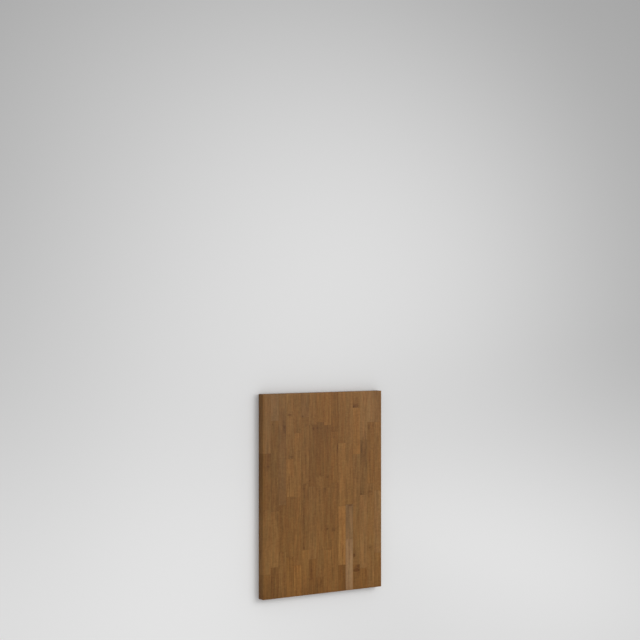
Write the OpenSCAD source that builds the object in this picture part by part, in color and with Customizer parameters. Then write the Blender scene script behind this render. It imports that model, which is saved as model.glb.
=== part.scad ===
// Butcher block countertop: a solid panel glued up from short staves of oiled hardwood.
// It lies flat. X runs across the staves, Y along them and Z up.
// The origin is at the middle of the underside.

/* [Panel] */
// Length of the panel, along the staves
panel_length = 914.4; // [700:0.1:1500]
// Thickness of the panel
panel_thickness = 38.1; // [20:0.1:60]

/* [Staves] */
// Width of the staves in the inner rows
stave_width = 40.5; // [20:0.5:80]
// Width of the staves in the outer row on each side, after the panel's edges are sawn true
outer_stave_width = 40.5; // [15:0.5:80]

/* [Edges] */
// Radius of the sanded arrises round both faces and down the four corners
arris_radius = 1.5; // [0.5:0.1:5]

/* [Hidden] */
// Shades of the oiled staves
PALE = "#9a7654";
LIGHT = "#86633d";
MID = "#7b5936";
BROWN = "#72512f";
DARK = "#664728";

// Stands for the length of the one stave in a row that is cut to fit between the others
FIT = 0;

// The staves of each row from the panel's lower end: length and shade
ROWS = [
    [[110, BROWN], [FIT, LIGHT], [250, DARK], [265, LIGHT]],
    [[140, DARK], [250, LIGHT], [FIT, BROWN], [120, MID]],
    [[205, MID], [210, DARK], [FIT, BROWN]],
    [[180, LIGHT], [FIT, BROWN], [170, LIGHT], [295, MID]],
    [[140, LIGHT], [FIT, BROWN], [290, LIGHT], [180, BROWN]],
    [[205, LIGHT], [FIT, DARK], [300, MID], [110, BROWN]],
    [[160, DARK], [FIT, MID], [280, BROWN], [145, MID]],
    [[75, DARK], [FIT, MID], [245, DARK], [135, MID]],
    [[195, MID], [285, DARK], [FIT, DARK], [150, MID]],
    [[FIT, DARK], [235, MID], [180, DARK]],
    [[120, DARK], [270, LIGHT], [FIT, LIGHT], [235, MID]],
    [[235, PALE], [160, LIGHT], [FIT, MID]],
    [[115, DARK], [FIT, MID], [215, LIGHT], [75, DARK]],
    [[95, DARK], [FIT, MID], [255, DARK], [225, LIGHT]],
    [[FIT, BROWN], [285, DARK], [145, LIGHT]],
    [[160, BROWN], [290, LIGHT], [FIT, MID], [145, DARK]]
];

last_row = len(ROWS) - 1;
panel_width = (last_row - 1) * stave_width + 2 * outer_stave_width;
// Sides of a whole circle in the arrises
$fn = 48;

function row_width(row) = row == 0 || row == last_row ? outer_stave_width : stave_width;

// Distance from the panel's left side to the row's left side
function row_side(row) = row == 0 ? 0 : row_side(row - 1) + row_width(row - 1);

// Total of the stated lengths of the first staves in a row
function stated_length(row, count) =
    count == 0 ? 0 : ROWS[row][count - 1][0] + stated_length(row, count - 1);

function stave_length(row, number) =
    ROWS[row][number][0] == FIT
        ? panel_length - stated_length(row, len(ROWS[row]))
        : ROWS[row][number][0];

// Distance from the panel's lower end to the stave's lower end
function stave_start(row, number) =
    number == 0 ? 0 : stave_start(row, number - 1) + stave_length(row, number - 1);

function two_digits(number) = number < 10 ? str("0", number) : str(number);

function stave_name(row, number) = str("stave_", two_digits(row + 1), "_", number + 1);

// A rectangle in the first quadrant with its corners rounded to the arris radius
module eased_outline(width, height) {
    translate([arris_radius, 0])
        square([width - 2 * arris_radius, height]);
    translate([0, arris_radius])
        square([width, height - 2 * arris_radius]);
    for (x = [arris_radius, width - arris_radius])
        for (y = [arris_radius, height - arris_radius])
            translate([x, y])
                circle(r = arris_radius);
}

// The panel as the sander leaves it, with its lower left corner at the origin
module sanded_panel() {
    intersection() {
        linear_extrude(panel_thickness)
            eased_outline(panel_width, panel_length);
        translate([0, panel_length, 0])
            rotate([90, 0, 0])
                linear_extrude(panel_length)
                    eased_outline(panel_width, panel_thickness);
        rotate([90, 0, 90])
            linear_extrude(panel_width)
                eased_outline(panel_length, panel_thickness);
    }
}

// One stave as it is glued in, square on all sides
module sawn_stave(row, number) {
    translate([row_side(row), stave_start(row, number), 0])
        cube([row_width(row), stave_length(row, number), panel_thickness]);
}

// One stave as it is left in the finished panel, with the panel centred on the origin
module stave(row, number) {
    color(ROWS[row][number][1])
        translate([-panel_width / 2, -panel_length / 2, 0])
            intersection() {
                sawn_stave(row, number);
                sanded_panel();
            }
}

for (row = [0 : last_row])
    for (number = [0 : len(ROWS[row]) - 1])
        stave(row, number);
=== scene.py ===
"""Butcher block countertop: a panel glued up from short staves of oiled hardwood.

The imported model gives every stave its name, size and place. Here each stave is rebuilt as a
finer solid, with sanded arrises and a hairline easing at its glue joints, and is dressed in
wood of its own: growth rings round a pith, fibres, pores, knots and streaks that run through
the solid, so that faces, edges and end grain agree. The panel lies flat on a pale floor.
"""

from __future__ import annotations

import logging
import math
import random
from dataclasses import dataclass, field
from enum import Enum
from functools import partial

import bmesh
import bpy
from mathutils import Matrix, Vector, noise

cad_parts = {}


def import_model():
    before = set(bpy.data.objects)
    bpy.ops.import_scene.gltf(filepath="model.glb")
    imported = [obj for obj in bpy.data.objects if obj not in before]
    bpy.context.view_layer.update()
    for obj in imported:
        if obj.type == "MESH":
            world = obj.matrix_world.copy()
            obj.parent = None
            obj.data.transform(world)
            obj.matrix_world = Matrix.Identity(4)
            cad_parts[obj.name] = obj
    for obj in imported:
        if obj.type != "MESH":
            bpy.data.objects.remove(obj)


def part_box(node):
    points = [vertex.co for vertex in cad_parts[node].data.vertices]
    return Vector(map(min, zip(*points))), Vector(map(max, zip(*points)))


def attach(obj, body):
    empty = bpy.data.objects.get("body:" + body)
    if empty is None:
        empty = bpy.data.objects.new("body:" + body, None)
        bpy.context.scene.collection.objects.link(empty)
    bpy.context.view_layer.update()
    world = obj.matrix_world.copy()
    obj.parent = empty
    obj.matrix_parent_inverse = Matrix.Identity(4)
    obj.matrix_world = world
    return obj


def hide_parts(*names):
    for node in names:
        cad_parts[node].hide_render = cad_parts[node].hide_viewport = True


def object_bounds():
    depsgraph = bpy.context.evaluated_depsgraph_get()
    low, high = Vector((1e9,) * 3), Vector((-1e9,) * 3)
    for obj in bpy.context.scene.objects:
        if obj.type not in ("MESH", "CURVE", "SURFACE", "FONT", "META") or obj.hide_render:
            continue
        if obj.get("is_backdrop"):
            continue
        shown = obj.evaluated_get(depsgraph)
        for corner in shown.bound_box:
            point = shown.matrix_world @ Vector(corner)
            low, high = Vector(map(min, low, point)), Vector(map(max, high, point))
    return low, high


LOG = logging.getLogger("butcher_block")

MM = 0.001

# How bright the backdrop looks, where a strength of 1 is white.
BACKDROP = 0.74

# The curve of written colours: a straight foot up to a limit, and a power above it.
FOOT_LIMIT = 0.04045
FOOT_SLOPE = 12.92
CURVE_OFFSET = 0.055
CURVE_POWER = 2.4

Size = tuple[float, float, float]
Colour = tuple[float, float, float, float]
Box = tuple[Vector, Vector]

WHITE: Colour = (1.0, 1.0, 1.0, 1.0)


def colour(code: str) -> Colour:
    """Turn a colour as painters write it into the linear values that a shader takes.

    Args:
        code: six hexadecimal digits after a hash sign.

    Returns:
        Red, green, blue and a full alpha, linear.
    """
    linear = []
    for start in (1, 3, 5):
        share = int(code[start : start + 2], 16) / 255
        if share <= FOOT_LIMIT:
            linear.append(share / FOOT_SLOPE)
        else:
            linear.append(((share + CURVE_OFFSET) / (1 + CURVE_OFFSET)) ** CURVE_POWER)
    return (linear[0], linear[1], linear[2], 1.0)


# ---------------------------------------------------------------------------- shader tools


class Wire:
    """The output of a shader node, which takes part in Python sums by adding Math nodes."""

    def __init__(self, bench: Bench, socket: bpy.types.NodeSocket) -> None:
        """Hold an output of a node on the bench."""
        self.bench = bench
        self.socket = socket

    def __add__(self, other: Wire | float) -> Wire:
        """Sum of the two."""
        return self.bench.maths("ADD", self, other)

    def __radd__(self, other: float) -> Wire:
        """Sum of the two, with the number first."""
        return self.bench.maths("ADD", other, self)

    def __sub__(self, other: Wire | float) -> Wire:
        """Difference of the two."""
        return self.bench.maths("SUBTRACT", self, other)

    def __rsub__(self, other: float) -> Wire:
        """Difference of the two, with the number first."""
        return self.bench.maths("SUBTRACT", other, self)

    def __mul__(self, other: Wire | float) -> Wire:
        """Product of the two."""
        return self.bench.maths("MULTIPLY", self, other)

    def __rmul__(self, other: float) -> Wire:
        """Product of the two, with the number first."""
        return self.bench.maths("MULTIPLY", other, self)

    def __truediv__(self, other: Wire | float) -> Wire:
        """Quotient of the two."""
        return self.bench.maths("DIVIDE", self, other)

    def __rtruediv__(self, other: float) -> Wire:
        """Quotient of the two, with the number first."""
        return self.bench.maths("DIVIDE", other, self)

    def __neg__(self) -> Wire:
        """This one with its sign turned."""
        return self.bench.maths("MULTIPLY", self, -1.0)

    def __abs__(self) -> Wire:
        """Size without the sign."""
        return self.bench.maths("ABSOLUTE", self)


Feed = Wire | float | tuple[float, ...]


class Bench:
    """Where the nodes of one finish, or of the daylight, are put together."""

    # A Mix node's sockets for colours go by number, as others of its have the same names.
    MIX_SHARE, MIX_FIRST, MIX_SECOND = 0, 6, 7
    MIXED_COLOUR = 2

    def __init__(self, owner: bpy.types.Material | bpy.types.World) -> None:
        """Start with an empty tree.

        Args:
            owner: the material or world whose nodes are made.
        """
        owner.use_nodes = True
        self.tree = owner.node_tree
        self.tree.nodes.clear()

    def add(
        self,
        kind: str,
        settings: dict[str, object] | None = None,
        inputs: dict[str | int, Feed] | None = None,
    ) -> bpy.types.Node:
        """Add a node of any type.

        Args:
            kind: the node's type, as Blender names it.
            settings: its properties, set before anything is joined; "stops" sets a ramp.
            inputs: values or wires for its input sockets, by name or number.

        Returns:
            The new node.
        """
        node = self.tree.nodes.new(kind)
        for name, value in (settings or {}).items():
            if name == "stops":
                self._set_stops(node.color_ramp, value)
            else:
                setattr(node, name, value)
        for key, value in (inputs or {}).items():
            if isinstance(value, Wire):
                self.tree.links.new(value.socket, node.inputs[key])
            else:
                node.inputs[key].default_value = value
        return node

    @staticmethod
    def _set_stops(ramp: bpy.types.ColorRamp, stops: list[tuple[float, Colour]]) -> None:
        """Lay a ramp's stops out.

        Args:
            ramp: the ramp, with its two first stops.
            stops: place and colour of each stop, in rising order.
        """
        while len(ramp.elements) < len(stops):
            ramp.elements.new(1.0)
        for element, (place, shade) in zip(ramp.elements, stops):
            element.position = place
            element.color = shade

    def wire(self, node: bpy.types.Node, output: str | int = 0) -> Wire:
        """One output of a node, ready for sums."""
        return Wire(self, node.outputs[output])

    def maths(self, operation: str, *values: Wire | float) -> Wire:
        """Add a Math node.

        Args:
            operation: what it works out.
            values: its inputs in order.

        Returns:
            Its result.
        """
        inputs = dict(enumerate(values))
        return self.wire(self.add("ShaderNodeMath", {"operation": operation}, inputs))

    def vector_maths(self, operation: str, *values: Feed) -> Wire:
        """Add a Vector Math node.

        Args:
            operation: what it works out.
            values: its inputs in order.

        Returns:
            Its vector.
        """
        inputs = dict(enumerate(values))
        return self.wire(self.add("ShaderNodeVectorMath", {"operation": operation}, inputs))

    def split(self, vector: Wire) -> tuple[Wire, Wire, Wire]:
        """The three parts of a vector."""
        node = self.add("ShaderNodeSeparateXYZ", inputs={0: vector})
        return self.wire(node, 0), self.wire(node, 1), self.wire(node, 2)

    def join(self, across: Feed, along: Feed, up: Feed) -> Wire:
        """A vector from its three parts."""
        return self.wire(self.add("ShaderNodeCombineXYZ", inputs={0: across, 1: along, 2: up}))

    def length(self, first: Wire, second: Wire) -> Wire:
        """How long a line is, from its two parts at right angles."""
        return self.maths("SQRT", first * first + second * second)

    def hold(self, value: Wire, low: float, high: float) -> Wire:
        """A value kept between two bounds."""
        return self.maths("MINIMUM", self.maths("MAXIMUM", value, low), high)

    def step(self, value: Wire, start: float, end: float) -> Wire:
        """A smooth step.

        Args:
            value: what is followed.
            start: where the step is still 0; it may lie above the end.
            end: where the step has reached 1.

        Returns:
            A share from 0 to 1.
        """
        rising = start < end
        node = self.add(
            "ShaderNodeMapRange",
            {"interpolation_type": "SMOOTHSTEP"},
            {
                "Value": value,
                "From Min": min(start, end),
                "From Max": max(start, end),
                "To Min": 0.0 if rising else 1.0,
                "To Max": 1.0 if rising else 0.0,
            },
        )
        return self.wire(node)

    def hill(self, dx: Wire, dy: Wire, width: float, length: float) -> Wire:
        """A soft round hill, 1 in its middle.

        Args:
            dx: distance from the middle, across.
            dy: distance from the middle, along.
            width: distance across at which it has fallen to a third.
            length: distance along at which it has fallen to a third.

        Returns:
            Its height.
        """
        across = dx / width
        along = dy / length
        return self.maths("EXPONENT", -(across * across + along * along))

    def seen(self) -> Wire:
        """Find the rays that show a surface straight, in a gloss or through glass.

        Returns:
            1 for those rays, and 0 for the others, which carry light to other surfaces.
        """
        rays = self.add("ShaderNodeLightPath")
        share = self.wire(rays, "Is Camera Ray")
        for name in ("Is Glossy Ray", "Is Transmission Ray"):
            share = self.maths("MAXIMUM", share, self.wire(rays, name))
        return share

    def lot(self, number: Wire) -> Wire:
        """A share from 0 to 1 that is drawn by lot for each whole number."""
        settings = {"noise_dimensions": "1D"}
        return self.wire(self.add("ShaderNodeTexWhiteNoise", settings, {"W": number}))

    def blend(self, share: Wire | float, first: Feed, second: Feed, way: str = "MIX") -> Wire:
        """Mix two colours.

        Args:
            share: how much of the second one.
            first: the colour that share 0 leaves.
            second: the colour that is mixed in.
            way: how it is mixed in.

        Returns:
            The mixed colour.
        """
        settings = {"data_type": "RGBA", "blend_type": way, "clamp_factor": True}
        inputs = {self.MIX_SHARE: share, self.MIX_FIRST: first, self.MIX_SECOND: second}
        return self.wire(self.add("ShaderNodeMix", settings, inputs), self.MIXED_COLOUR)


# ---------------------------------------------------------------------------- the staves


class Cut(Enum):
    """How a stave was sawn from the log, which sets the figure on its faces."""

    FLAT = "flat sawn"
    RIFT = "rift sawn"
    QUARTER = "quarter sawn"


class Shade(Enum):
    """How dark a stave took the stain, as a share of the usual brightness."""

    UMBER = 0.77
    DARK = 0.83
    BROWN = 0.89
    USUAL = 0.95
    HONEY = 1.01
    LIGHT = 1.07
    PALE = 1.13
    BLOND = 1.30


class Hue(Enum):
    """How far a stave leans to red: red is raised by this share, and blue lowered by twice it."""

    COOL = -0.02
    PLAIN = 0.01
    WARM = 0.04
    RED = 0.07
    RUSTY = 0.11


class Drift(Enum):
    """How much paler a stave gets from its lower end to its far end, as a share."""

    DARKENS_MUCH = -0.2
    DARKENS = -0.1
    EVEN = 0.0
    PALES = 0.1
    PALES_MUCH = 0.2


class SapwoodAndSheen(Enum):
    """Pale young wood, which takes little stain; on some far-end staves partly painted sheen."""

    NONE = 0.0
    TRACE = 0.03
    SOME = 0.08
    MUCH = 0.14


# The steps by their bare names, which keep the table of looks short.
UMBER, DARK, BROWN, USUAL, HONEY, LIGHT, PALE, BLOND = Shade
COOL, PLAIN, WARM, RED, RUSTY = Hue
DARKENS_MUCH, DARKENS, EVEN, PALES, PALES_MUCH = Drift
NONE, TRACE, SOME, MUCH = SapwoodAndSheen


@dataclass(frozen=True)
class Look:
    """What sets one stave off from its neighbours."""

    cut: Cut
    shade: Shade
    hue: Hue
    drift: Drift = EVEN
    sapwood_and_sheen: SapwoodAndSheen = NONE


# A stave's look by its cut, to be given a shade, a hue, a drift and a share of sapwood
# and painted sheen.
flat = partial(Look, Cut.FLAT)
rift = partial(Look, Cut.RIFT)
quarter = partial(Look, Cut.QUARTER)


class MarkKind(Enum):
    """What shows in a stave besides straight grain."""

    KNOT = "knot"
    STREAK = "streak"


@dataclass(frozen=True)
class Mark:
    """A knot, or a soft streak along the grain, that runs through the panel from face to face.

    Sizes are in millimetres, and places are from the panel's lower left corner. The depth
    is how strongly it shows; a streak of less than none is a paler patch.
    """

    kind: MarkKind
    across: float
    along: float
    half_width: float
    half_length: float
    depth: float


# A mark by its kind, to be given its place across and along, half its size, and its depth.
knot = partial(Mark, MarkKind.KNOT)
streak = partial(Mark, MarkKind.STREAK)


# Rows from left to right, each from the panel's lower end to its far end.
# Painted sheen: the sapwood in the far-end staves of rows 1, 2, 15 and 16 partly stands in for a
# sheen that greys the far corners.
LOOKS: tuple[tuple[Look, ...], ...] = (
    (  # Row 1
        rift(BROWN, WARM, PALES_MUCH),
        quarter(LIGHT, COOL, DARKENS),
        rift(DARK, WARM, DARKENS_MUCH),
        rift(BROWN, PLAIN, DARKENS, TRACE),
    ),
    (  # Row 2
        quarter(DARK, WARM),
        rift(PALE, COOL, DARKENS_MUCH),
        quarter(DARK, PLAIN, PALES),
        rift(BROWN, PLAIN, EVEN, SOME),
    ),
    (  # Row 3
        rift(HONEY, PLAIN),
        rift(BROWN, WARM, DARKENS),
        quarter(DARK, PLAIN, DARKENS, TRACE),
    ),
    (  # Row 4
        rift(USUAL, RED),
        quarter(BROWN, WARM),
        flat(PALE, PLAIN, DARKENS),
        rift(LIGHT, COOL, PALES),
    ),
    (  # Row 5
        rift(PALE, RED, DARKENS),
        rift(USUAL, WARM, DARKENS),
        quarter(LIGHT, PLAIN),
        rift(USUAL, PLAIN, PALES),
    ),
    (  # Row 6
        quarter(HONEY, WARM, PALES_MUCH),
        rift(USUAL, PLAIN, DARKENS),
        rift(USUAL, PLAIN),
        rift(BROWN, PLAIN, PALES, TRACE),
    ),
    (  # Row 7
        rift(DARK, RED, PALES),
        quarter(HONEY, COOL, DARKENS_MUCH),
        rift(DARK, WARM, PALES),
        quarter(HONEY, PLAIN, PALES),
    ),
    (  # Row 8
        rift(DARK, RED, DARKENS),
        rift(HONEY, PLAIN),
        quarter(UMBER, RED, DARKENS),
        rift(USUAL, RED),
    ),
    (  # Row 9
        quarter(HONEY, WARM, PALES_MUCH),
        rift(BROWN, WARM, DARKENS),
        quarter(DARK, RED, DARKENS),
        rift(HONEY, RED),
    ),
    (  # Row 10
        rift(USUAL, WARM, DARKENS_MUCH),
        quarter(BROWN, RED),
        rift(UMBER, RUSTY, PALES),
    ),
    (  # Row 11
        quarter(UMBER, RUSTY),
        rift(BLOND, PLAIN, PALES),
        rift(PALE, PLAIN, PALES),
        quarter(USUAL, WARM, PALES),
    ),
    (  # Row 12
        quarter(PALE, COOL, DARKENS, MUCH),
        quarter(DARK, COOL, DARKENS_MUCH, SOME),
        rift(HONEY, PLAIN, PALES),
    ),
    (  # Row 13
        rift(USUAL, WARM),
        rift(HONEY, COOL, DARKENS),
        quarter(PALE, WARM),
        rift(LIGHT, PLAIN, PALES_MUCH),
    ),
    (  # Row 14
        rift(BROWN, RED),
        quarter(HONEY, PLAIN, DARKENS, TRACE),
        rift(BROWN, COOL),
        flat(HONEY, PLAIN, PALES_MUCH, TRACE),
    ),
    (  # Row 15
        rift(LIGHT, COOL),
        quarter(USUAL, WARM, DARKENS),
        rift(LIGHT, COOL, EVEN, TRACE),
    ),
    (  # Row 16
        quarter(HONEY, PLAIN),
        rift(LIGHT, COOL, PALES, TRACE),
        quarter(HONEY, PLAIN),
        rift(BROWN, PLAIN, DARKENS, TRACE),
    ),
)

# Knots, streaks and paler patches, by the row of staves that they are in.
MARKS: tuple[Mark, ...] = (
    # Row 1
    knot(28, 591, 5, 3, 0.45),
    streak(20, 762, 18, 90, -0.1),
    streak(10, 434, 7, 30, -0.1),
    # Row 2
    knot(50, 779, 3, 4, 0.5),
    streak(46, 72, 4, 60, 0.3),
    streak(48, 743, 10, 45, -0.12),
    streak(60, 408, 22, 18, -0.1),
    # Row 3
    knot(113, 765, 4, 6, 0.5),
    streak(113, 748, 6, 26, 0.2),
    streak(108, 872, 6, 50, -0.35),
    streak(90, 895, 8, 25, -0.2),
    streak(93, 656, 7, 14, 0.12),
    # Row 4
    knot(140, 818, 10, 3, 0.5),
    knot(150, 629, 7, 3, 0.45),
    streak(157, 350, 7, 90, -0.2),
    streak(154, 182, 6, 35, -0.1),
    # Row 5
    streak(166, 350, 5, 90, -0.15),
    # Row 6
    knot(210, 809, 5, 3, 0.45),
    streak(215, 486, 5, 16, 0.2),
    streak(215, 283, 7, 70, 0.22),
    streak(214, 342, 5, 22, 0.15),
    knot(217, 215, 4, 6, 0.38),
    # Row 7
    knot(268, 752, 4, 6, 0.6),
    knot(248, 517, 4, 3, 0.4),
    streak(255, 110, 7, 50, 0.25),
    # Row 8
    knot(288, 752, 3, 5, 0.5),
    knot(305, 543, 4, 3, 0.35),
    streak(309, 50, 4, 14, 0.2),
    streak(292, 40, 4, 12, 0.15),
    streak(287, 40, 4, 40, -0.15),
    streak(288, 850, 5, 50, -0.1),
    # Row 9
    knot(346, 528, 4, 3, 0.4),
    streak(331, 475, 4, 12, 0.2),
    knot(343, 292, 5, 3, 0.5),
    streak(359, 820, 8, 50, -0.08),
    # Row 10
    streak(376, 286, 14, 10, 0.2),
    streak(374, 101, 4, 14, 0.2),
    streak(402, 663, 4, 26, 0.45),
    streak(369, 820, 6, 50, -0.1),
    # Row 11
    knot(436, 107, 4, 4, 0.2),
    streak(438, 412, 8, 22, -0.18),
    # Row 12
    knot(472, 391, 9, 3, 0.5),
    streak(477, 132, 6, 50, -0.2),
    streak(465, 12, 20, 22, 0.12),
    streak(466, 224, 22, 30, 0.14),
    streak(452, 122, 1.5, 60, 0.25),
    streak(465, 177, 1.5, 45, 0.2),
    streak(459, 72, 1.5, 40, 0.15),
    streak(476, 312, 7, 70, -0.4),
    streak(460, 352, 5, 40, 0.12),
    streak(462, 412, 16, 22, -0.12),
    streak(458, 386, 9, 9, -0.15),
    streak(481, 422, 4, 25, -0.12),
    streak(480, 190, 6, 15, 0.15),
    # Row 13
    knot(493, 158, 5, 8, 0.6),
    knot(505, 89, 15, 7, 0.6),
    streak(510, 104, 12, 12, 0.14),
    knot(504, 849, 12, 7, 0.35),
    streak(495, 37, 6, 35, 0.12),
    knot(492, 843, 5, 5, 0.85),
    streak(523, 340, 5, 60, -0.07),
    # Row 14
    streak(533, 648, 5, 40, 0.1),
    streak(549, 628, 24, 60, 0.15),
    knot(534, 438, 6, 4, 0.4),
    # Row 15
    knot(582, 447, 10, 5, 0.3),
    knot(580, 186, 7, 3, 0.3),
    streak(583, 190, 14, 9, 0.1),
    streak(577, 746, 4, 14, 0.3),
)


# ---------------------------------------------------------------------------- the wood


@dataclass(frozen=True)
class Layer:
    """Soft noise that runs through the wood.

    The size of its patches is in millimetres, across, along and up. The detail says how many
    finer layers lie in it, the depth how strongly it darkens and lightens the wood, and the
    fall how much of each finer layer is left against the one before.
    """

    size: Size
    detail: float
    depth: float = 0.0
    fall: float = 0.6

    def _node(self, bench: Bench, where: Wire) -> bpy.types.Node:
        """Add the noise's node.

        Args:
            bench: where it is added.
            where: the place, in millimetres.

        Returns:
            The node.
        """
        stretch = (1 / self.size[0], 1 / self.size[1], 1 / self.size[2])
        spot = bench.vector_maths("MULTIPLY", where, stretch)
        inputs = {"Vector": spot, "Scale": 1.0, "Detail": self.detail, "Roughness": self.fall}
        return bench.add("ShaderNodeTexNoise", inputs=inputs)

    def noise(self, bench: Bench, where: Wire) -> Wire:
        """The noise at a place, from about -0.3 to 0.3."""
        return bench.wire(self._node(bench, where)) - 0.5

    def waves(self, bench: Bench, where: Wire) -> Wire:
        """A vector of three such noises, which moves a place about."""
        colours = bench.wire(self._node(bench, where), "Color")
        return bench.vector_maths("SUBTRACT", colours, (0.5, 0.5, 0.5))

    def shade(self, bench: Bench, where: Wire) -> Wire:
        """How much darker the noise makes the wood at a place."""
        return self.noise(bench, where) * self.depth


@dataclass(frozen=True)
class Tone:
    """One of the wood's colours.

    The place is the depth at which it shows pure, and the pale share says how much of a
    stave's sapwood and painted sheen it takes.
    """

    place: float
    code: str
    pale_share: float


@dataclass(frozen=True)
class Edge:
    """Where a soft edge begins and where it has reached its full share."""

    start: float
    end: float

    def share(self, bench: Bench, value: Wire) -> Wire:
        """How far the edge has come at a value, from 0 to 1."""
        return bench.step(value, self.start, self.end)


@dataclass(frozen=True)
class KnotBuild:
    """How a knot is built up, with distances as shares of its own half width and length.

    A rim, which is darkest round the outside and in the pith, lies over a softer heart. The
    grain bends aside round the knot, over some widths and lengths of it.
    """

    ragged: Layer = Layer((3.0, 5.0, 3.0), 2.0, 0.9)
    heart: Edge = Edge(1.15, 0.75)
    rim_inside: Edge = Edge(0.55, 0.95)
    rim_outside: Edge = Edge(1.35, 1.0)
    pith: Edge = Edge(0.45, 0.05)
    ring_share: float = 0.7
    rim_depth: float = 0.8
    round_shade: float = 0.3
    flow_width: float = 2.0
    flow_length: float = 5.0
    flow_aside: float = -0.55


@dataclass
class Figure:
    """The wires that the steps of one stave's finish share."""

    place: Wire
    grain: Wire
    hearts: Wire
    rims: Wire
    shades: Wire


@dataclass(frozen=True)
class OiledHardwood:
    """Brown stained hardwood under a satin oil finish.

    Sizes are in millimetres. Depths say how much darker a thing makes the wood, where 0 is
    the palest tone and 1 the darkest.
    """

    tones: tuple[Tone, ...] = (
        Tone(0.10, "#896233", 1.5),
        Tone(0.42, "#77532A", 1.1),
        Tone(0.66, "#694620", 0.9),
        Tone(1.00, "#482C13", 0.4),
    )
    # Pale young wood, and on some far-end staves painted sheen that greys them.
    sapwood_and_sheen: str = "#B59A7C"
    knot_heart: str = "#572F08"
    knot_rim: str = "#2E1906"
    glue: str = "#2C1A0D"
    rubbed: str = "#9A7245"
    red_tint: Colour = (1.03, 0.99, 0.97, 1.0)
    green_tint: Colour = (0.975, 1.005, 1.015, 1.0)
    end_grain: Colour = (0.74, 0.71, 0.68, 1.0)

    # Long waves in the grain, and how far they push it aside.
    sway: Layer = Layer((55.0, 230.0, 55.0), 1.0, fall=0.5)
    sway_reach: float = 8.0
    knots: KnotBuild = KnotBuild()

    # How far the log's pith lies from a stave's middle, by the stave's cut.
    flat_across: tuple[float, float] = (-8.0, 8.0)
    flat_up: tuple[float, float] = (26.0, 44.0)
    rift_off: tuple[float, float] = (38.0, 60.0)
    quarter_across: tuple[float, float] = (60.0, 110.0)
    quarter_up: tuple[float, float] = (-9.0, 9.0)

    # How wide a year's ring is, how it darkens through the year, and how years differ.
    ring_gap: tuple[float, float] = (2.2, 4.6)
    late_wood: Edge = Edge(0.30, 0.93)
    year_end: Edge = Edge(1.0, 0.95)
    weakest_ring: float = 0.35
    ring_spread: float = 0.75
    ring_middle: float = 0.4
    ring_depth: float = 0.24
    flat_lean: float = 0.05
    usual_lean: float = 0.02

    # The layers of figure that darken and lighten the wood round a middle depth.
    middle_depth: float = 0.5
    fibres: Layer = Layer((1.3, 70.0, 1.3), 4.0, 0.9)
    fine_fibres: Layer = Layer((0.45, 14.0, 0.45), 2.0, 0.45)
    mottle: Layer = Layer((11.0, 130.0, 11.0), 2.0, 0.7)
    ripple: Layer = Layer((16.0, 9.0, 16.0), 1.0, 0.35)
    hue_patches: Layer = Layer((14.0, 90.0, 14.0), 1.0)
    patch_edge: Edge = Edge(-0.15, 0.15)
    pores: Layer = Layer((0.32, 5.0, 0.32), 1.0)
    pore_edge: Edge = Edge(0.12, 0.22)
    pore_depth: float = 0.14

    # Painted shade along the panel's lower end, a paler band a little above it, and how the
    # stain differs along a stave.
    shaded_end: Edge = Edge(60.0, 0.0)
    shaded_end_depth: float = 0.04
    pale_band_place: float = 205.0
    pale_band_reach: float = 110.0
    pale_band_depth: float = 0.045
    drift_depth: float = 0.85

    # End grain, glue lines and the panel's rubbed arrises.
    end_facing: Edge = Edge(0.55, 0.85)
    glue_line: float = 0.25
    glue_share: float = 0.3
    rubbed_reach: Edge = Edge(2.2, 0.6)
    rubbed_patches: Layer = Layer((6.0, 40.0, 6.0), 3.0)
    least_rubbed: float = 0.15
    rubbed_spread: float = 0.35

    # The oil: how rough it is, and how far fibres and pores stand out, in millimetres.
    satin: float = 0.42
    fibre_roughness: float = 0.25
    pore_roughness: float = 0.18
    fibre_height: float = 0.03
    pore_height: float = 0.05
    bump_strength: float = 0.5
    gloss_level: float = 0.11

    def dress(self, stave: Stave) -> bpy.types.Material:
        """Make the wood of one stave.

        Args:
            stave: the stave that it is for.

        Returns:
            The material.
        """
        material = bpy.data.materials.new(f"wood_{stave.name}")
        bench = Bench(material)
        figure = self._figure(bench, stave)
        fibre = self.fibres.noise(bench, figure.grain)
        pores = self.pore_edge.share(bench, self.pores.noise(bench, figure.grain))
        body = self._body(bench, figure, stave, fibre, pores)
        body = bench.blend(figure.hearts, body, colour(self.knot_heart))
        body = bench.blend(figure.rims, body, colour(self.knot_rim))
        body = self._end_grain(bench, body)
        body = self._glue_lines(bench, body, figure.place, stave)
        body = self._rubbed_arrises(bench, body, figure, stave)
        self._surface(bench, body, fibre, pores)
        return material

    def _figure(self, bench: Bench, stave: Stave) -> Figure:
        """Work out how the grain runs at every point of a stave.

        Args:
            bench: the finish being made.
            stave: the stave.

        Returns:
            The wires that the other steps share.
        """
        here = bench.wire(bench.add("ShaderNodeTexCoord"), "Object")
        place = bench.vector_maths("MULTIPLY", here, (1 / MM, 1 / MM, 1 / MM))
        swirled, hearts, rims, shades = self._marks(bench, place, stave)
        shifted = bench.vector_maths("ADD", swirled, stave.grain_start)
        waves = self.sway.waves(bench, shifted)
        sway = bench.vector_maths("MULTIPLY", waves, (self.sway_reach, 0.0, self.sway_reach))
        grain = bench.vector_maths("ADD", shifted, sway)
        return Figure(place, grain, hearts, rims, shades)

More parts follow.
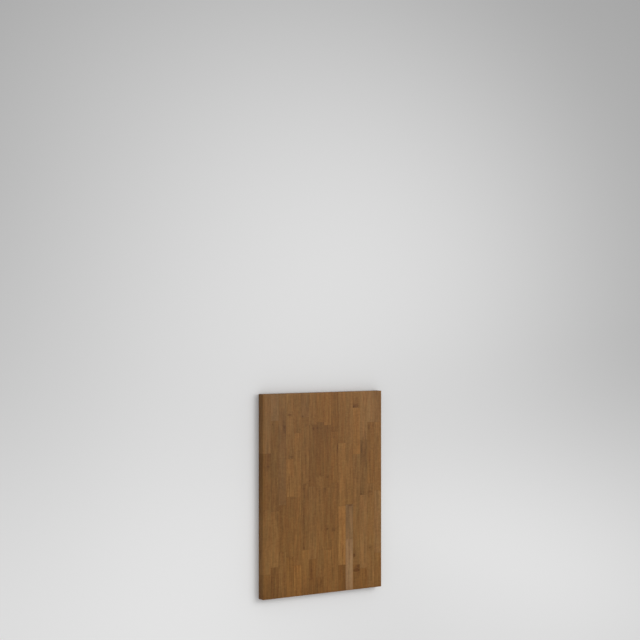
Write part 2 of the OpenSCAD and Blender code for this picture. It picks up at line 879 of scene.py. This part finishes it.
    def _marks(self, bench: Bench, place: Wire, stave: Stave) -> tuple[Wire, Wire, Wire, Wire]:
        """Knots and streaks of the stave.

        Args:
            bench: the finish being made.
            place: the point, in millimetres.
            stave: the stave.

        Returns:
            The point as the grain flows round the knots, the share of knot heart, the share
            of the dark rim round each knot, and how much darker the wood is.
        """
        build = self.knots
        x, y, z = bench.split(place)
        hearts = rims = shades = x * 0.0
        ragged = build.ragged.shade(bench, place)
        for mark in stave.marks:
            centre = stave.on_panel(mark)
            dx = x - centre[0]
            dy = y - centre[1]
            if mark.kind is MarkKind.STREAK:
                reach = bench.hill(dx, dy, mark.half_width, mark.half_length)
                shades = shades + reach * mark.depth
                continue
            flow_width = mark.half_width * build.flow_width
            flow_length = mark.half_length * build.flow_length
            reach = bench.hill(dx, dy, flow_width, flow_length)
            x = x + dx * reach * build.flow_aside
            away = bench.length(dx / mark.half_width, dy / mark.half_length) + ragged
            heart = build.heart.share(bench, away) * mark.depth
            ring = build.rim_inside.share(bench, away) * build.rim_outside.share(bench, away)
            rim = ring * build.ring_share + build.pith.share(bench, away)
            hearts = bench.maths("MAXIMUM", hearts, heart)
            rims = bench.maths("MAXIMUM", rims, rim * (mark.depth * build.rim_depth))
            shades = shades + reach * (mark.depth * build.round_shade)
        return bench.join(x, y, z), hearts, rims, shades

    def _rings(self, bench: Bench, grain: Wire, stave: Stave) -> Wire:
        """Growth rings round the log's pith, which lies outside the stave.

        Args:
            bench: the finish being made.
            grain: the point as the grain sees it, shifted by the stave's own start.
            stave: the stave.

        Returns:
            A share that is 1 in the dark late wood at the end of each year.
        """
        draw = random.Random(stave.name + " rings")
        side = draw.choice((-1, 1))
        over = draw.choice((-1, 1))
        off = draw.uniform
        pith_across, pith_up = {
            Cut.FLAT: (off(*self.flat_across), over * off(*self.flat_up)),
            Cut.RIFT: (side * off(*self.rift_off), over * off(*self.rift_off)),
            Cut.QUARTER: (side * off(*self.quarter_across), off(*self.quarter_up)),
        }[stave.look.cut]
        lean = self.flat_lean if stave.look.cut is Cut.FLAT else self.usual_lean
        lean_across, lean_up = (draw.uniform(-lean, lean) for _ in range(2))
        x, y, z = bench.split(grain)
        start, middle = stave.grain_start, stave.middle_mm
        gone = y - (start[1] + middle[1])
        from_pith_x = x - (start[0] + middle[0] + pith_across) + gone * lean_across
        from_pith_z = z - (start[2] + middle[2] + pith_up) + gone * lean_up
        years = bench.length(from_pith_x, from_pith_z) / draw.uniform(*self.ring_gap)
        part = bench.maths("FRACT", years)
        late = self.late_wood.share(bench, part) * self.year_end.share(bench, part)
        strength = self.weakest_ring + bench.lot(bench.maths("FLOOR", years)) * self.ring_spread
        return late * strength

    def _body(self, bench: Bench, figure: Figure, stave: Stave, fibre: Wire, pores: Wire) -> Wire:
        """Colour the straight grain.

        Args:
            bench: the finish being made.
            figure: how the grain runs.
            stave: the stave.
            fibre: the fibres' noise.
            pores: the share of open pore.

        Returns:
            The wood's colour.
        """
        rings = self._rings(bench, figure.grain, stave)
        depth = self.middle_depth + (rings - self.ring_middle) * self.ring_depth
        depth = depth + fibre * self.fibres.depth + pores * self.pore_depth
        for layer in (self.fine_fibres, self.mottle, self.ripple):
            depth = depth + layer.shade(bench, figure.grain)
        depth = depth + self._unevenness(bench, figure.place, stave) + figure.shades
        stops = [(tone.place, self._stained(tone, stave.look)) for tone in self.tones]
        ramp = bench.add("ShaderNodeValToRGB", {"stops": stops}, {0: depth})
        redder = self.patch_edge.share(bench, self.hue_patches.noise(bench, figure.grain))
        hue = bench.blend(redder, self.green_tint, self.red_tint)
        return bench.blend(1.0, bench.wire(ramp), hue, "MULTIPLY")

    def _unevenness(self, bench: Bench, place: Wire, stave: Stave) -> Wire:
        """Painted shade at the lower end, a paler band and the stain's drift along each stave.

        Args:
            bench: the finish being made.
            place: the point, in millimetres.
            stave: the stave.

        Returns:
            How much darker the wood is, with painted shade at the panel's lower end.
        """
        along = bench.split(place)[1]
        from_end = along + stave.panel_mm[1] / 2
        # A paler band across the panel, a little above its lower end.
        away = (from_end - self.pale_band_place) / self.pale_band_reach
        pale_band = bench.maths("EXPONENT", -(away * away)) * self.pale_band_depth
        # Painted shade: the wood darkens towards the panel's lower end.
        end_shade = self.shaded_end.share(bench, from_end) * self.shaded_end_depth
        pale_per_mm = self.drift_depth * stave.look.drift.value / (2 * stave.half_mm[1])
        drifted = (along - stave.middle_mm[1]) * pale_per_mm
        return end_shade - pale_band - drifted

    def _stained(self, tone: Tone, look: Look) -> Colour:
        """One of the wood's colours as a stave shows it.

        Args:
            tone: the usual colour.
            look: what sets the stave off.

        Returns:
            The stave's own colour.
        """
        shade, hue = look.shade.value, look.hue.value
        tint = (shade * (1 + hue), shade, shade * (1 - 2 * hue))
        # The sapwood share is partly painted sheen on some far-end staves.
        pale_share = look.sapwood_and_sheen.value * tone.pale_share
        parts = [
            (base + (white - base) * pale_share) * share
            for base, white, share in zip(colour(tone.code), colour(self.sapwood_and_sheen), tint)
        ]
        return (parts[0], parts[1], parts[2], 1.0)

    def _end_grain(self, bench: Bench, body: Wire) -> Wire:
        """Darken the ends of the staves, which drink more oil.

        Args:
            bench: the finish being made.
            body: the wood's colour.

        Returns:
            The wood's colour with dark ends.
        """
        facing = bench.wire(bench.add("ShaderNodeTexCoord"), "Normal")
        ends = self.end_facing.share(bench, abs(bench.split(facing)[1]))
        return bench.blend(ends, body, self.end_grain, "MULTIPLY")

    def _glue_lines(self, bench: Bench, body: Wire, place: Wire, stave: Stave) -> Wire:
        """Draw the thin dark line where staves meet.

        Args:
            bench: the finish being made.
            body: the wood's colour.
            place: the point, in millimetres.
            stave: the stave.

        Returns:
            The wood's colour with glue lines.
        """
        x, y, _ = bench.split(place)
        middle, half = stave.middle_mm, stave.half_mm
        line = x * 0.0
        for along, axis in ((x, 0), (y, 1)):
            for sign in (-1, 1):
                if not stave.glued[(axis, sign)]:
                    continue
                gap = (middle[axis] + sign * half[axis] - along) * sign
                near = bench.step(gap, self.glue_line * 2, self.glue_line)
                line = bench.maths("MAXIMUM", line, near)
        return bench.blend(line * self.glue_share, body, colour(self.glue))

    def _rubbed_arrises(self, bench: Bench, body: Wire, figure: Figure, stave: Stave) -> Wire:
        """Lighten the panel's outer arrises, where sanding and hands thin the stain.

        Args:
            bench: the finish being made.
            body: the wood's colour.
            figure: how the grain runs.
            stave: the stave.

        Returns:
            The wood's colour with rubbed arrises.
        """
        if all(stave.glued.values()):
            return body
        parts = bench.split(figure.place)
        size = stave.panel_mm
        near = []
        for axis, centre in ((0, 0.0), (1, 0.0), (2, size[2] / 2)):
            inside = size[axis] / 2 - abs(parts[axis] - centre)
            near.append(self.rubbed_reach.share(bench, inside))
        on_arris = near[0] * near[1] + near[1] * near[2] + near[0] * near[2]
        patchy = self.patch_edge.share(bench, self.rubbed_patches.noise(bench, figure.grain))
        worn = self.least_rubbed + patchy * self.rubbed_spread
        share = bench.maths("MINIMUM", on_arris, 1.0) * worn
        return bench.blend(share, body, colour(self.rubbed))

    def _surface(self, bench: Bench, body: Wire, fibre: Wire, pores: Wire) -> None:
        """Finish the surface: satin oil, with open pores and raised fibres.

        Args:
            bench: the finish being made.
            body: the wood's colour.
            fibre: the fibres' noise.
            pores: the share of open pore.
        """
        rough = self.satin + fibre * self.fibre_roughness + pores * self.pore_roughness
        height = fibre * self.fibre_height - pores * self.pore_height
        bump = bench.add(
            "ShaderNodeBump",
            inputs={"Strength": self.bump_strength, "Distance": MM, "Height": height},
        )
        skin = bench.add(
            "ShaderNodeBsdfPrincipled",
            inputs={
                "Base Color": body,
                "Roughness": rough,
                "Normal": bench.wire(bump),
                "Specular IOR Level": self.gloss_level,
            },
        )
        bench.add("ShaderNodeOutputMaterial", inputs={"Surface": bench.wire(skin)})


# ---------------------------------------------------------------------------- the panel


@dataclass
class Stave:
    """One solid wood stave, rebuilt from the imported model's box for it.

    Lengths are in metres, and those whose names end in mm are in millimetres. The glued
    sides are by axis and sign.
    """

    name: str
    look: Look
    box: Box
    panel: Box
    arris: float = 1.5 * MM
    arris_steps: int = 4
    joint_ease: float = 0.1 * MM
    round_profile: float = 0.5
    cut_spacing: float = 12.0 * MM
    cut_tolerance: float = 1e-7
    wear: float = 0.25 * MM
    wear_patch: float = 18.0 * MM
    smooth_below: float = math.radians(32)
    start_reach_mm: float = 900.0
    closeness: float = 0.1 * MM
    squareness: float = 0.999
    arris_share: float = 0.99
    middle_mm: Size = field(init=False)
    half_mm: Size = field(init=False)
    panel_mm: Size = field(init=False)
    glued: dict[tuple[int, int], bool] = field(init=False)
    grain_start: Size = field(init=False)
    marks: list[Mark] = field(init=False)

    def __post_init__(self) -> None:
        """Work out what lies round the stave."""
        low, high = self.box
        self.middle_mm = tuple((low + high) / 2 / MM)
        self.half_mm = tuple((high - low) / 2 / MM)
        self.panel_mm = tuple((self.panel[1] - self.panel[0]) / MM)
        self.glued = {
            (axis, sign): not self._on_rim(axis, sign) for axis in (0, 1) for sign in (-1, 1)
        }
        draw = random.Random(self.name + " start")
        reach = self.start_reach_mm
        self.grain_start = tuple(draw.uniform(-reach, reach) for _ in range(3))
        self.marks = [mark for mark in MARKS if self._holds(mark)]

    def _on_rim(self, axis: int, sign: int) -> bool:
        """Whether a side of the stave lies on the panel's outside."""
        end = 1 if sign > 0 else 0
        return abs(self.box[end][axis] - self.panel[end][axis]) < self.closeness

    def on_panel(self, mark: Mark) -> tuple[float, float]:
        """A mark's place from the middle of the panel, in millimetres."""
        corner = self.panel[0] / MM
        return corner[0] + mark.across, corner[1] + mark.along

    def _holds(self, mark: Mark) -> bool:
        """Whether the middle of a mark lies in the stave."""
        place = self.on_panel(mark)
        return all(abs(place[axis] - self.middle_mm[axis]) <= self.half_mm[axis] for axis in (0, 1))

    def build(self) -> bpy.types.Object:
        """Build the stave as a closed mesh.

        Returns:
            The object, in the place of its node.
        """
        solid = bmesh.new()
        bmesh.ops.create_cube(solid, size=1.0)
        low, high = self.box
        bmesh.ops.scale(solid, vec=high - low, verts=solid.verts)
        bmesh.ops.translate(solid, vec=(low + high) / 2, verts=solid.verts)
        self._ease(solid, self._rim_arrises(solid), self.arris, self.arris_steps)
        self._ease(solid, self._joint_edges(solid), self.joint_ease, 1)
        self._cut_across(solid)
        self._wear_arrises(solid)
        mesh = bpy.data.meshes.new(self.name + "_wood")
        solid.to_mesh(mesh)
        solid.free()
        mesh.shade_smooth()
        mesh.set_sharp_from_angle(angle=self.smooth_below)
        piece = bpy.data.objects.new(self.name + "_wood", mesh)
        bpy.context.scene.collection.objects.link(piece)
        return piece

    def _is_glued(self, face: bmesh.types.BMFace) -> bool:
        """Whether a face lies against a neighbouring stave.

        Args:
            face: a face of the stave.

        Returns:
            True if it does.
        """
        for axis in (0, 1):
            if abs(face.normal[axis]) > self.squareness:
                return self.glued[(axis, 1 if face.normal[axis] > 0 else -1)]
        return False

    def _rim_arrises(self, solid: bmesh.types.BMesh) -> list[bmesh.types.BMEdge]:
        """Edges of the box that lie on the panel's outside arrises."""
        return [edge for edge in solid.edges if not any(map(self._is_glued, edge.link_faces))]

    def _joint_edges(self, solid: bmesh.types.BMesh) -> list[bmesh.types.BMEdge]:
        """Edges where a glued side meets a side that shows."""
        return [edge for edge in solid.edges if sum(map(self._is_glued, edge.link_faces)) == 1]

    def _ease(
        self, solid: bmesh.types.BMesh, edges: list[bmesh.types.BMEdge], width: float, steps: int
    ) -> None:
        """Round or chamfer edges.

        Args:
            solid: the mesh.
            edges: its edges to take off.
            width: how far from the edge the cut starts.
            steps: how many faces the cut has.
        """
        if edges:
            bmesh.ops.bevel(
                solid,
                geom=edges,
                offset=width,
                offset_type="OFFSET",
                segments=steps,
                profile=self.round_profile,
                affect="EDGES",
                clamp_overlap=False,
            )

    def _cut_across(self, solid: bmesh.types.BMesh) -> None:
        """Divide the faces into short lengths, so that the arrises can wear unevenly.

        Args:
            solid: the stave's mesh.
        """
        low, high = self.box
        for axis in (0, 1):
            span = high[axis] - low[axis]
            count = max(2, round(span / self.cut_spacing))
            direction = Vector((axis == 0, axis == 1, 0))
            for number in range(1, count):
                point = low + direction * (span * number / count)
                geometry = [*solid.verts, *solid.edges, *solid.faces]
                bmesh.ops.bisect_plane(
                    solid, geom=geometry, dist=self.cut_tolerance, plane_co=point, plane_no=direction
                )

    def _wear_arrises(self, solid: bmesh.types.BMesh) -> None:
        """Push the panel's outer arrises in by an uneven hair, as hand sanding leaves them.

        Args:
            solid: the stave's mesh.
        """
        low, high = self.panel
        near = self.arris * self.arris_share
        for vert in solid.verts:
            inward = Vector((0, 0, 0))
            for axis in range(3):
                if vert.co[axis] - low[axis] < near:
                    inward[axis] = 1
                elif high[axis] - vert.co[axis] < near:
                    inward[axis] = -1
            if inward.length_squared > 1:
                rubbed = 0.5 + 0.5 * noise.noise(vert.co / self.wear_patch)
                vert.co += inward.normalized() * self.wear * rubbed


@dataclass
class Panel:
    """The whole panel: all the staves, in their rows."""

    box: Box
    wood: OiledHardwood

    def build(self) -> list[bpy.types.Object]:
        """Build and dress every stave.

        Returns:
            The staves' objects.
        """
        pieces = []
        for row, looks in enumerate(LOOKS, start=1):
            for number, look in enumerate(looks, start=1):
                pieces.append(self._lay(f"stave_{row:02d}_{number}", look))
        return pieces

    def _lay(self, node: str, look: Look) -> bpy.types.Object:
        """Build one stave in the place of its node.

        Args:
            node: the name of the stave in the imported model.
            look: what sets it off.

        Returns:
            The stave's object.
        """
        stave = Stave(node, look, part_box(node), self.box)
        piece = stave.build()
        piece.data.materials.append(self.wood.dress(stave))
        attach(piece, "root")
        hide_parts(node)
        LOG.info("%s: %s, %d faces", piece.name, look.cut.value, len(piece.data.polygons))
        return piece


# ---------------------------------------------------------------------------- the studio


@dataclass(frozen=True)
class Floor:
    """A plain pale floor, which goes over into the backdrop far out and shows no horizon.

    Round the panel its colour carries painted shade, which darkens it gently to the back and
    sides, and painted light, which makes it palest at the front left. Lengths are in metres.
    The painted shade dims out from the middle, more so towards the back, where the turn says
    how far back a place lies for its distance.
    """

    reach: float = 30.0
    near: str = "#D9D9D9"
    far: str = "#ACACAC"
    painted_light_front_left: str = "#EDEDED"
    roughness: float = 0.9
    gloss_level: float = 0.1
    middle: tuple[float, float] = (-0.34, 1.04)
    spread: tuple[float, float] = (0.86, 0.76)
    painted_shade_out: Edge = Edge(0.07, 2.99)
    turn_start: float = 0.42
    turn_ease: float = 1.26
    painted_shade_back: Edge = Edge(-0.38, 0.1)
    painted_light_across: Edge = Edge(0.61, -1.0)
    painted_light_front: Edge = Edge(1.5, -0.94)
    shaded_across: tuple[float, float] = (-1.6, 2.1)
    shaded_along: tuple[float, float] = (-1.0, 2.5)
    to_backdrop: Edge = Edge(0.0, 4.0)

    def build(self) -> bpy.types.Object:
        """Lay the floor under the panel.

        Returns:
            The floor's object.
        """
        mesh = bpy.data.meshes.new("floor")
        corners = [(-1, -1), (1, -1), (1, 1), (-1, 1)]
        points = [(x * self.reach, y * self.reach, 0) for x, y in corners]
        mesh.from_pydata(points, [], [(0, 1, 2, 3)])
        floor = bpy.data.objects.new("floor", mesh)
        bpy.context.scene.collection.objects.link(floor)
        floor.data.materials.append(self._paint())
        floor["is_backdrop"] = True
        return floor

    def _paint(self) -> bpy.types.Material:
        """Mix the floor's matt paint, which holds painted shade and painted light.

        Returns:
            The material.
        """
        material = bpy.data.materials.new("floor_paint")
        bench = Bench(material)
        here = bench.wire(bench.add("ShaderNodeTexCoord"), "Object")
        x, y, _ = bench.split(here)
        near_x = bench.hold(x, *self.shaded_across)
        near_y = bench.hold(y, *self.shaded_along)
        skin = bench.add(
            "ShaderNodeBsdfPrincipled",
            inputs={
                "Base Color": self._paint_light_and_shade(bench, near_x, near_y),
                "Roughness": self.roughness,
                "Specular IOR Level": self.gloss_level,
            },
        )
        glow = bench.add("ShaderNodeEmission", inputs={"Color": WHITE, "Strength": BACKDROP})
        past = bench.length(x - near_x, y - near_y)
        share = self.to_backdrop.share(bench, past) * bench.seen()
        sides = {0: share, 1: bench.wire(skin), 2: bench.wire(glow)}
        mixed = bench.add("ShaderNodeMixShader", inputs=sides)
        bench.add("ShaderNodeOutputMaterial", inputs={"Surface": bench.wire(mixed)})
        return material

    def _paint_light_and_shade(self, bench: Bench, x: Wire, y: Wire) -> Wire:
        """Colour the paint from place to place, with painted shade and painted light.

        Args:
            bench: the paint being mixed.
            x: the place across the panel.
            y: the place along it.

        Returns:
            The paint's colour.
        """
        # Painted shade: darker out from the middle, more so towards the back.
        out = (x - self.middle[0]) / self.spread[0]
        back = (y - self.middle[1]) / self.spread[1]
        painted_shade = self.painted_shade_out.share(bench, bench.length(out, back))
        turned = (y - self.turn_start) / (bench.length(x, y) + self.turn_ease)
        painted_shade = painted_shade * self.painted_shade_back.share(bench, turned)
        shade = bench.blend(painted_shade, colour(self.near), colour(self.far))
        # Painted light: a paler pool at the front left.
        painted_light = self.painted_light_across.share(bench, x) * self.painted_light_front.share(bench, y)
        return bench.blend(painted_light, shade, colour(self.painted_light_front_left))


def hang(light: bpy.types.Light, direction: Size, distance: float = 0.0) -> bpy.types.Object:
    """Hang a lamp that shines on the panel's middle.

    Args:
        light: the lamp's light.
        direction: where the lamp is, as seen from the panel.
        distance: how far off it is; a distant lamp does without.

    Returns:
        The lamp's object.
    """
    way = Vector(direction).normalized()
    lamp = bpy.data.objects.new(light.name, light)
    lamp.location = way * distance
    lamp.rotation_euler = way.to_track_quat("Z", "Y").to_euler()
    bpy.context.scene.collection.objects.link(lamp)
    return lamp


@dataclass(frozen=True)
class DistantLamp:
    """A broad distant lamp above the far right corner, for a soft even light."""

    direction: Size = (0.28, 0.34, 0.90)
    spread: float = math.radians(36)
    strength: float = 0.30

    def build(self) -> bpy.types.Object:
        """Hang the lamp.

        Returns:
            The lamp's object.
        """
        light = bpy.data.lights.new("distant_lamp", "SUN")
        light.angle = self.spread
        light.energy = self.strength
        return hang(light, self.direction)


@dataclass(frozen=True)
class Softbox:
    """A square lamp above the panel's right side, whose soft sheen lies on the far end."""

    direction: Size = (0.52, 0.25, 0.82)
    distance: float = 3.2
    width: float = 2.0
    power: float = 40.0

    def build(self) -> bpy.types.Object:
        """Hang the lamp.

        Returns:
            The lamp's object.
        """
        light = bpy.data.lights.new("softbox", "AREA")
        light.shape = "SQUARE"
        light.size = self.width
        light.energy = self.power
        lamp = hang(light, self.direction, self.distance)
        lamp.visible_camera = False
        return lamp


@dataclass(frozen=True)
class Daylight:
    """Even light from all round, in front of a pale backdrop."""

    strength: float = 0.66

    def build(self) -> bpy.types.World:
        """Set the world up.

        Returns:
            The world.
        """
        world = bpy.data.worlds.new("studio")
        bpy.context.scene.world = world
        bench = Bench(world)
        strength = self.strength + bench.seen() * (BACKDROP - self.strength)
        sky = bench.add("ShaderNodeBackground", inputs={"Color": WHITE, "Strength": strength})
        bench.add("ShaderNodeOutputWorld", inputs={"Surface": bench.wire(sky)})
        return world


@dataclass(frozen=True)
class Viewpoint:
    """Where the camera stands: to the left and high up, with the far end up in its view."""

    eye: Size = (-3.941, 0.787, 5.918)
    swing: float = math.radians(-33.695)
    lens: float = 87.42
    sensor_width: float = 36.0

    def build(self) -> bpy.types.Object:
        """Put the camera up.

        Returns:
            The camera's object.
        """
        camera = bpy.data.cameras.new("camera")
        camera.lens = self.lens
        camera.sensor_width = self.sensor_width
        stand = bpy.data.objects.new("camera", camera)
        stand.location = self.eye
        stand.rotation_euler = (0.0, self.swing, 0.0)
        bpy.context.scene.collection.objects.link(stand)
        bpy.context.scene.camera = stand
        return stand


def main() -> None:
    """Build the panel, then the studio round it."""
    logging.basicConfig(level=logging.INFO, format="%(name)s: %(message)s")
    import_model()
    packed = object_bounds()
    staves = Panel(packed, OiledHardwood()).build()
    LOG.info("panel: %d staves", len(staves))
    for item in (Floor(), DistantLamp(), Softbox(), Daylight(), Viewpoint()):
        LOG.info("studio: %s", item.build().name)
    bpy.context.scene.view_settings.view_transform = "Standard"


if __name__ == "__main__":
    main()
